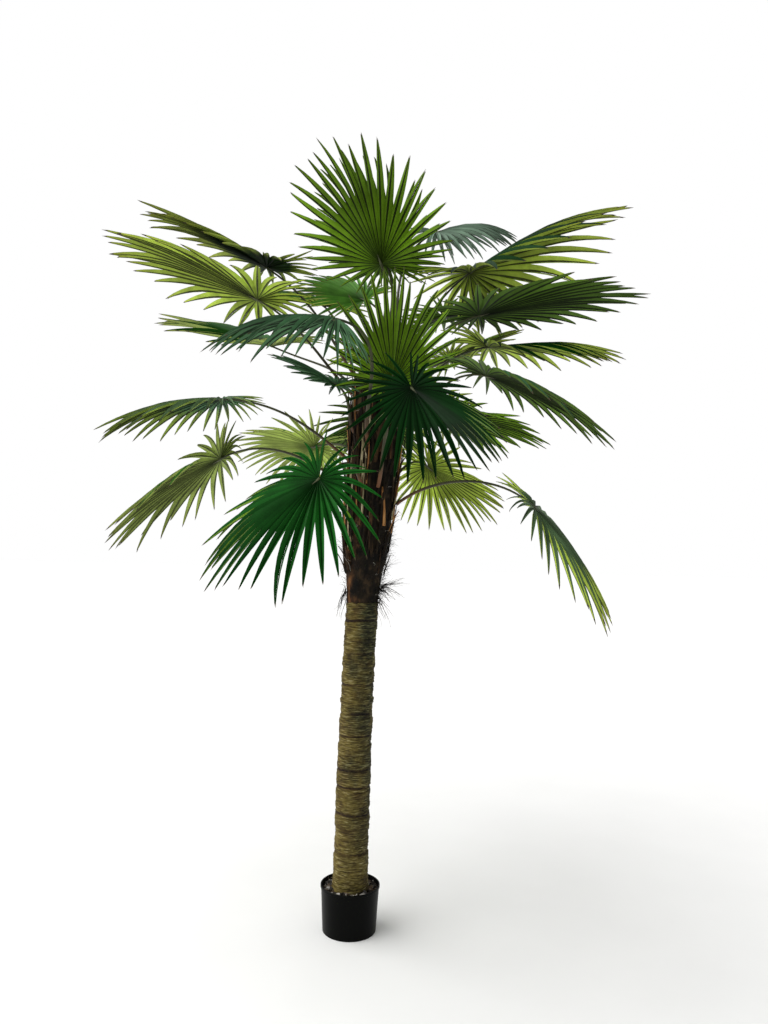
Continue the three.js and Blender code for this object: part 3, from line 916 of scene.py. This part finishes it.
def strip_points(rng):
    """One narrow tongue: two edges and a ridge between them, leaning out toward its tip."""
    t = np.linspace(0, 1, STRIP_ROWS)[:, None]
    low = rng.uniform(*STRIP_FOOT)
    turn = rng.uniform(0, FULL_TURN)
    length = rng.uniform(*STRIP_LENGTH)
    width = rng.uniform(*STRIP_WIDTH)
    lean_out = either(rng, STRIP_CLOSE_SHARE, STRIP_LEAN_CLOSE, STRIP_LEAN_FAR)
    slant = rng.normal(0, STRIP_SLANT)
    z = np.minimum(low + t * length, HUSK_TOP)
    half = width / 2 * np.clip(STRIP_FULLNESS - t ** 2 * rng.uniform(*STRIP_NARROWING), STRIP_TIP, 1)
    spin = half / husk_radius(z) * np.array(STRIP_SIDES)
    out = STRIP_OUT + lean_out * t ** STRIP_LEAN_POWER + np.array(STRIP_RIDGE) * (1 - 0.5 * t)
    return husk_point(turn + slant * t + spin, np.repeat(z, len(STRIP_SIDES), 1), out)


def add_strips():
    """Old leaf bases: narrow upright tongues that lean off the sleeve toward their ragged tips."""
    rng = np.random.default_rng(STRIP_SEED)
    shares = [share for share, *_ in STRIP_TINTS.values()]
    pile = Pile()
    for _ in range(STRIP_COUNT):
        points = strip_points(rng)
        pile.add(points, grid_faces(STRIP_ROWS, len(STRIP_SIDES)), int(rng.choice(len(shares), p=shares)))
    materials = [strip_material(name, *tones) for name, (_, *tones) in STRIP_TINTS.items()]
    piece = pile.build("husk_strips", materials)
    piece.modifiers.new("thickness", "SOLIDIFY").thickness = STRIP_THICKNESS
    return piece


def strand(rng, start, heading, length, sag, sideways, steps):
    """A thread that heads one way, sags and waves from side to side."""
    t = np.linspace(0, 1, steps)[:, None]
    heading = unit(heading)
    sway = unit(np.cross(heading, UPWARD))
    drift = sway * sideways * np.sin(t * rng.uniform(*STRAND_WAVES) + rng.uniform(*STRAND_PHASES))
    return start + heading * length * t - UPWARD * sag * t ** 2 + drift


def add_thread(pile, path, radii, slot=0):
    pile.add(*tube(path, np.linspace(*radii, len(path)), STRAND_SIDES), slot)


def add_tuft(pile, rng, root, middle, spread, length, count):
    """Wavy strands from one root with short cross links, like a torn scrap of net."""
    paths = []
    for share in np.linspace(-1, 1, count):
        start = root + rng.normal(0, TUFT_ROOT_SCATTER, 3)
        heading = np.array(middle) + np.array(spread) * share + rng.normal(0, TUFT_HEADING_SCATTER, 3)
        reached = length * rng.uniform(*TUFT_LENGTH)
        paths.append(strand(rng, start, heading, reached, rng.uniform(*TUFT_SAG), TUFT_WAVE, TUFT_STEPS))
        add_thread(pile, paths[-1], TUFT_RADII)
    for first, second in zip(paths, paths[1:]):
        for step in LINK_STEPS:
            if rng.uniform() < LINK_SHARE:
                other = min(TUFT_STEPS - 1, step + int(rng.integers(-1, 2)))
                link = np.linspace(first[step], second[other], LINK_POINTS)
                link[1:-1] += rng.normal(0, LINK_SCATTER, (LINK_POINTS - 2, 3))
                add_thread(pile, link, (LINK_RADIUS, LINK_RADIUS))


def add_hair(pile, rng):
    z = either(rng, HAIR_SPREAD_SHARE, HAIR_HEIGHTS, HAIR_LOW_HEIGHTS)
    spread = rng.uniform() < HAIR_SPREAD_SHARE
    turn = rng.uniform(0, FULL_TURN) if spread else rng.normal(*HAIR_LOW_TURN)
    start = husk_point(np.array(turn), np.array(z), -HAIR_ROOT)
    outward = np.array([math.cos(turn), math.sin(turn), 0.0])
    heading = outward * rng.uniform(*HAIR_OUTWARD) + UPWARD * rng.uniform(*HAIR_UPWARD)
    length = either(rng, HAIR_SHORT_SHARE, HAIR_LENGTH, HAIR_LONG_LENGTH)
    path = strand(rng, start, heading, length, rng.uniform(*HAIR_SAG), HAIR_WAVE, HAIR_STEPS)
    add_thread(pile, path, HAIR_RADII, int(rng.uniform() < HAIR_PALE_SHARE))


def add_fibres():
    """Loose hairs all over the sleeve, and net-like tufts at its lower edge."""
    rng = np.random.default_rng(FIBRE_SEED)
    pile = Pile()
    for _ in range(HAIR_COUNT):
        add_hair(pile, rng)
    for turn, z, middle, spread, length, count in TUFTS:
        root = husk_point(np.array(turn), np.array(z), -HUSK_INSET)
        add_tuft(pile, rng, root, middle, spread, length, count)
    return pile.build("husk_fibres", [plain_material("dark_fibre"), plain_material("pale_fibre")])


# Blades

def frond_axes(frond):
    """The fan's forward direction, the one across it and the one off its upper side."""
    azimuth, elevation, roll = (angle * RAD for angle in frond.aim)
    forward = np.array([
        math.cos(azimuth) * math.cos(elevation),
        math.sin(azimuth) * math.cos(elevation),
        math.sin(elevation),
    ])
    level = np.array([-math.sin(azimuth), math.cos(azimuth), 0.0])
    side = level * math.cos(roll) + np.cross(forward, level) * math.sin(roll)
    return forward, side, np.cross(forward, side)


def blade_points(frond, axes, phi, distance):
    """Points on the blade's middle surface at angles from its axis and distances from its hub."""
    forward, side, top = axes
    phi, distance = np.broadcast_arrays(phi, distance)
    sign = np.sign(phi)[..., None]
    sine, cosine = np.sin(phi)[..., None], np.cos(phi)[..., None]
    fold = frond.fold * RAD
    heading = (side * math.cos(fold) + top * math.sin(fold) * sign) * sine + forward * cosine
    rear = np.maximum(0, (np.abs(phi) / RAD - REAR_START) / (FAN_HALF_ANGLE - REAR_START))
    lift = frond.lift * RAD * rear[..., None]
    heading = unit(heading * np.cos(lift) + top * np.sin(lift))
    half = np.cos(phi / 2)[..., None] ** 2
    down = -top * half - UPWARD * (1 - half)
    down = unit(down - heading * np.sum(down * heading, -1, keepdims=True))
    bend = frond.curl * RAD / frond.length
    turn = bend * distance[..., None]
    return np.array(frond.hub) + heading * np.sin(turn) / bend + down * (1 - np.cos(turn)) / bend


def blade_normals(frond, axes, phi, distance):
    """Directions off the blade's upper side, from two short steps on it."""
    here = blade_points(frond, axes, phi, distance)
    outward = blade_points(frond, axes, phi, distance + NORMAL_STEP) - here
    step = np.where(phi < 0, -NORMAL_TURN, NORMAL_TURN)
    around = (blade_points(frond, axes, phi + step, distance) - here) * np.sign(step)[..., None]
    return unit(np.cross(outward, around))


def fan_angle(place):
    """The angle of the leaflets' edge at a place, counted from the right rear; closer in the middle."""
    t = 2 * np.asarray(place, float) / LEAFLETS - 1
    return FAN_HALF_ANGLE * RAD * (FAN_EVEN_SHARE * t + (1 - FAN_EVEN_SHARE) * t * np.abs(t))


def reach(phi):
    """Length of a leaflet at an angle from the axis, as a share of the forward one."""
    return REACH_BACK + (1 - REACH_BACK) * np.exp(-(np.abs(phi) / (REACH_FADE * RAD)) ** REACH_POWER)


def sinus(phi):
    """How far out two leaflets are joined, as a share of their length."""
    return SINUS_BACK + (SINUS_FRONT - SINUS_BACK) * np.exp(-(phi / (SINUS_FADE * RAD)) ** 2)


def edge_height(place):
    """Half the mean spacing of the leaflets that meet at an edge, so that their pleats meet too."""
    return (fan_angle(min(place + 1, LEAFLETS)) - fan_angle(max(place - 1, 0))) / 4


# Leaflets

Leaflet = namedtuple("Leaflet", "centre reach droop stray sway slots")


def leaflet_shade(centre, rng):
    """The overlapping leaflets in the middle are the core, in a darker copy of their tint as painted shade;
    of the others some are a shade darker.
    """
    if abs(centre) < CORE_HALF_ANGLE * RAD * rng.uniform(*CORE_RANGE):
        return CORE_SHADE
    return FULL if rng.uniform() < FULL_SHARE else SHADED


def add_blade(pile, frond, axes, rng, slots):
    """One pleated fan of leaflets, each with its own lean, droop and sideways bend."""
    for i in range(LEAFLETS):
        centre = fan_angle(i + 0.5) + rng.normal(0, CENTRE_SCATTER * RAD)
        leaflet = Leaflet(
            centre=centre,
            reach=frond.length * reach(centre) * rng.uniform(*REACH_RANGE),
            droop=frond.length * frond.droop * rng.uniform(*DROOP_RANGE),
            stray=frond.length * rng.normal(0, STRAY_SCATTER),
            sway=rng.normal(0, SWAY_SCATTER * RAD),
            slots=slots[leaflet_shade(centre, rng)],
        )
        for sign, place in ((-1, i), (1, i + 1)):
            add_half(pile, frond, axes, leaflet, sign, place, rng.uniform(*PRONG_RANGE))


def half_rows(root, tip):
    """For each row its distance from the hub, its width, and how far into the free length it is."""
    web, free = np.array(WEB_ROWS), np.array(FREE_ROWS)
    distance = np.concatenate([web * root, root + free * (tip - root)])
    narrowing = (1 - free ** TIP_POWER) ** TIP_ROUNDNESS * (1 - TIP_TAPER * free)
    base = np.minimum(distance, root) * np.concatenate([np.ones(len(web)), narrowing])
    late = np.concatenate([np.zeros(len(web)), free])
    return distance[:, None], base[:, None], late[:, None]


def half_skin(frond, axes, leaflet, sign, place, prong):
    """Upper points of half a leaflet, its prong last, with their normals and distances from the hub."""
    edge = fan_angle(place)
    distance, base, late = half_rows(frond.length * reach(edge) * sinus(edge), leaflet.reach)
    aside = sign * (abs(edge - leaflet.centre) * base / distance)
    phi = leaflet.centre + aside * np.array(PLEAT_PLACES) + leaflet.sway * late ** SWAY_POWER
    far = np.repeat(distance, len(PLEAT_PLACES), 1)
    normals = blade_normals(frond, axes, phi, far)
    height = base * 2 * edge_height(place) * np.array(PLEAT_HEIGHTS) + leaflet.stray * late ** STRAY_POWER
    points = blade_points(frond, axes, phi, far) + normals * height[..., None]
    points[..., 2] -= leaflet.droop * late ** DROOP_POWER
    last_width = abs(edge - leaflet.centre) * base[-1, 0]
    end_phi = leaflet.centre + leaflet.sway + sign * PRONG_ASIDE * last_width / leaflet.reach
    end = blade_points(frond, axes, np.array(end_phi), np.array(leaflet.reach * prong))
    end = end + normals[-1, 1] * leaflet.stray - UPWARD * leaflet.droop
    skin = np.concatenate([points.reshape(-1, 3), end[None]])
    normals = np.concatenate([normals.reshape(-1, 3), normals[-1, :1]])
    return skin, normals, np.append(far.ravel(), leaflet.reach)


def add_half(pile, frond, axes, leaflet, sign, place, prong):
    """Half a leaflet, margin to rib: joined to its neighbour up to the sinus, then free up to its prong."""
    skin, normals, far = half_skin(frond, axes, leaflet, sign, place, prong)
    rows, columns = len(WEB_ROWS) + len(FREE_ROWS), len(PLEAT_PLACES)
    thickness = LEAF_THICKNESS * np.append(np.tile(THICKNESS_SHARES, rows), PRONG_THICKNESS)
    below = skin - normals * thickness[:, None]
    across = 0.5 + 0.5 * sign * np.append(np.tile(PLEAT_PLACES, rows), PRONG_PLACE)
    uv = np.stack([across, far / leaflet.reach], 1)
    last = rows * columns
    faces = grid_faces(rows, columns).tolist()
    faces += [[last - 3, last - 2, last], [last - 2, last - 1, last]]
    flipped = [face[::-1] for face in faces]
    # The strip along each rib takes the darker rib copy: painted shade in the pleat's fold
    top, top_rib_shade, under, under_rib_shade, end = leaflet.slots
    pile.add(skin, flipped if sign > 0 else faces, [top, top_rib_shade] * (rows - 1) + [end] * 2, uv)
    pile.add(below, faces if sign > 0 else flipped, [under, under_rib_shade] * (rows - 1) + [end] * 2, uv)


# Stems and fronds

def stem_path(frond, forward):
    """The stem's arch, from its foot on the sleeve to the hub of its blade."""
    hub = np.array(frond.hub)
    lean = frond.tilt * RAD
    contact = frond.base + STEM_FOOT_INSET * math.sin(lean)
    axis = np.array([float(lean_at(contact)), 0.0, frond.base])
    outward = unit((hub - axis) * (1, 1, 0))
    start = axis + outward * (float(husk_radius(contact)) + STEM_FOOT_INSET * math.cos(lean))
    span = np.linalg.norm(start - hub)
    launch = outward * math.sin(lean) + UPWARD * math.cos(lean)
    lead = min(STEM_LEAD * span, STEM_LEAD_MAX)
    return bezier(start, start + launch * STEM_RISE * span, hub - forward * lead, hub, STEM_STEPS)


def stem_end(frond, axes):
    """The stem's last stretch, running out along the blade's middle under its hub."""
    distance = np.array(STEM_END_PLACES)
    ahead = blade_points(frond, axes, np.zeros(len(distance)), distance)
    return ahead - axes[2] * STEM_END_DEPTH


def add_stem(pile, frond, axes):
    path = np.concatenate([stem_path(frond, axes[0]), stem_end(frond, axes)])
    steps = len(path)
    shaft = np.linspace(STEM_BASE_RADIUS, STEM_TIP_RADIUS, steps - len(STEM_END_RADII))
    points, faces = tube(path, np.append(shaft, STEM_END_RADII), STEM_SIDES, STEM_FLATNESS)
    along = np.repeat(np.linspace(0, 1, steps), STEM_SIDES)
    pile.add(points, faces, uv=np.stack([np.zeros(len(along)), along], 1))


def leaf_kinds():
    """The leaf materials, and the place of each tint's first: full, then shaded, core and rib; core and rib
    are darker copies, painted shade.
    """
    materials, places = [], {}
    for side, (tints, roughness, specular) in LEAF_SIDES.items():
        for tint, (colour, rib) in tints.items():
            places[side, tint] = len(materials)
            for kind, shade in {**LEAF_SHADES, "rib": rib}.items():
                name = f"leaf_{side}_{tint}_{kind}"
                outer = scaled(OUTER_TINTS[tint], shade) if tint in OUTER_TINTS else None
                materials.append(leaf_material(name, scaled(colour, shade), roughness, specular, outer))
    materials.append(leaf_material("leaf_tip", TIP_TINT, roughness=0.6, specular=0.2))
    return materials, places


def add_fronds():
    materials, places = leaf_kinds()
    end = len(materials) - 1
    leaves, stems = Pile(), Pile()
    rng = np.random.default_rng(FROND_SEED)
    for frond in FRONDS:
        axes = frond_axes(frond)
        top, under = places["top", frond.top], places["under", frond.under]
        slots = [(top + kind, top + RIB_SHADE, under + kind, under + RIB_SHADE, end) for kind in (FULL, SHADED, CORE_SHADE)]
        add_blade(leaves, frond, axes, rng, slots)
        add_stem(stems, frond, axes)
    blades = [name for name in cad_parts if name.startswith("blade_")]
    shafts = [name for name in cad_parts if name.startswith("stem_")]
    dress(leaves.build("fan_leaflets", materials), "leaf", *blades)
    dress(stems.build("frond_stems", [stem_material()]), "stem", *shafts)


# Floor, light and camera

def add_floor():
    bpy.ops.mesh.primitive_plane_add(size=FLOOR_SIZE, location=(0, 0, 0))
    floor = bpy.context.object
    floor.name = "pale_floor"
    floor.data.materials.append(plain_material("floor_paint", spread=0.01))


def add_room():
    """A white room as the camera sees it, which lights the plant more dimly."""
    world = bpy.data.worlds.new("white_room")
    bpy.context.scene.world = world
    world.use_nodes = True
    nodes, links = world.node_tree.nodes, world.node_tree.links
    even, seen = nodes["Background"], nodes.new("ShaderNodeBackground")
    even.inputs["Strength"].default_value = ROOM_LIGHT
    seen.inputs["Strength"].default_value = ROOM_SEEN
    for shade in (even, seen):
        shade.inputs["Color"].default_value = ROOM_WHITE
    rays, mix = nodes.new("ShaderNodeLightPath"), nodes.new("ShaderNodeMixShader")
    links.new(rays.outputs["Is Camera Ray"], mix.inputs[0])
    links.new(even.outputs["Background"], mix.inputs[1])
    links.new(seen.outputs["Background"], mix.inputs[2])
    links.new(mix.outputs["Shader"], nodes["World Output"].inputs["Surface"])


def add_ceiling():
    """A broad soft light from above and the left."""
    data = bpy.data.lights.new("ceiling_light", "SUN")
    data.energy = CEILING_LIGHT
    data.angle = CEILING_SPREAD * RAD
    ceiling = bpy.data.objects.new("ceiling_light", data)
    bpy.context.scene.collection.objects.link(ceiling)
    ceiling.rotation_euler = Vector(CEILING_FROM).to_track_quat("Z", "Y").to_euler()


def add_camera():
    pitch, roll = CAMERA_PITCH * RAD, CAMERA_ROLL * RAD
    forward = Vector((0, math.cos(pitch), math.sin(pitch)))
    upright = Vector((0, -math.sin(pitch), math.cos(pitch)))
    right = Vector((1, 0, 0))
    turned_right = right * math.cos(roll) + upright * math.sin(roll)
    turned_up = upright * math.cos(roll) - right * math.sin(roll)
    data = bpy.data.cameras.new("camera")
    data.lens = CAMERA_LENS
    camera = bpy.data.objects.new("camera", data)
    bpy.context.scene.collection.objects.link(camera)
    turn = Matrix((turned_right, turned_up, -forward)).transposed().to_4x4()
    camera.matrix_world = Matrix.Translation(CAMERA_AT) @ turn
    bpy.context.scene.camera = camera


bpy.context.scene.view_settings.view_transform = "Standard"
add_camera()
add_room()
add_ceiling()
add_floor()
add_pot()
add_fill()
add_trunk()
add_husk()
add_fronds()
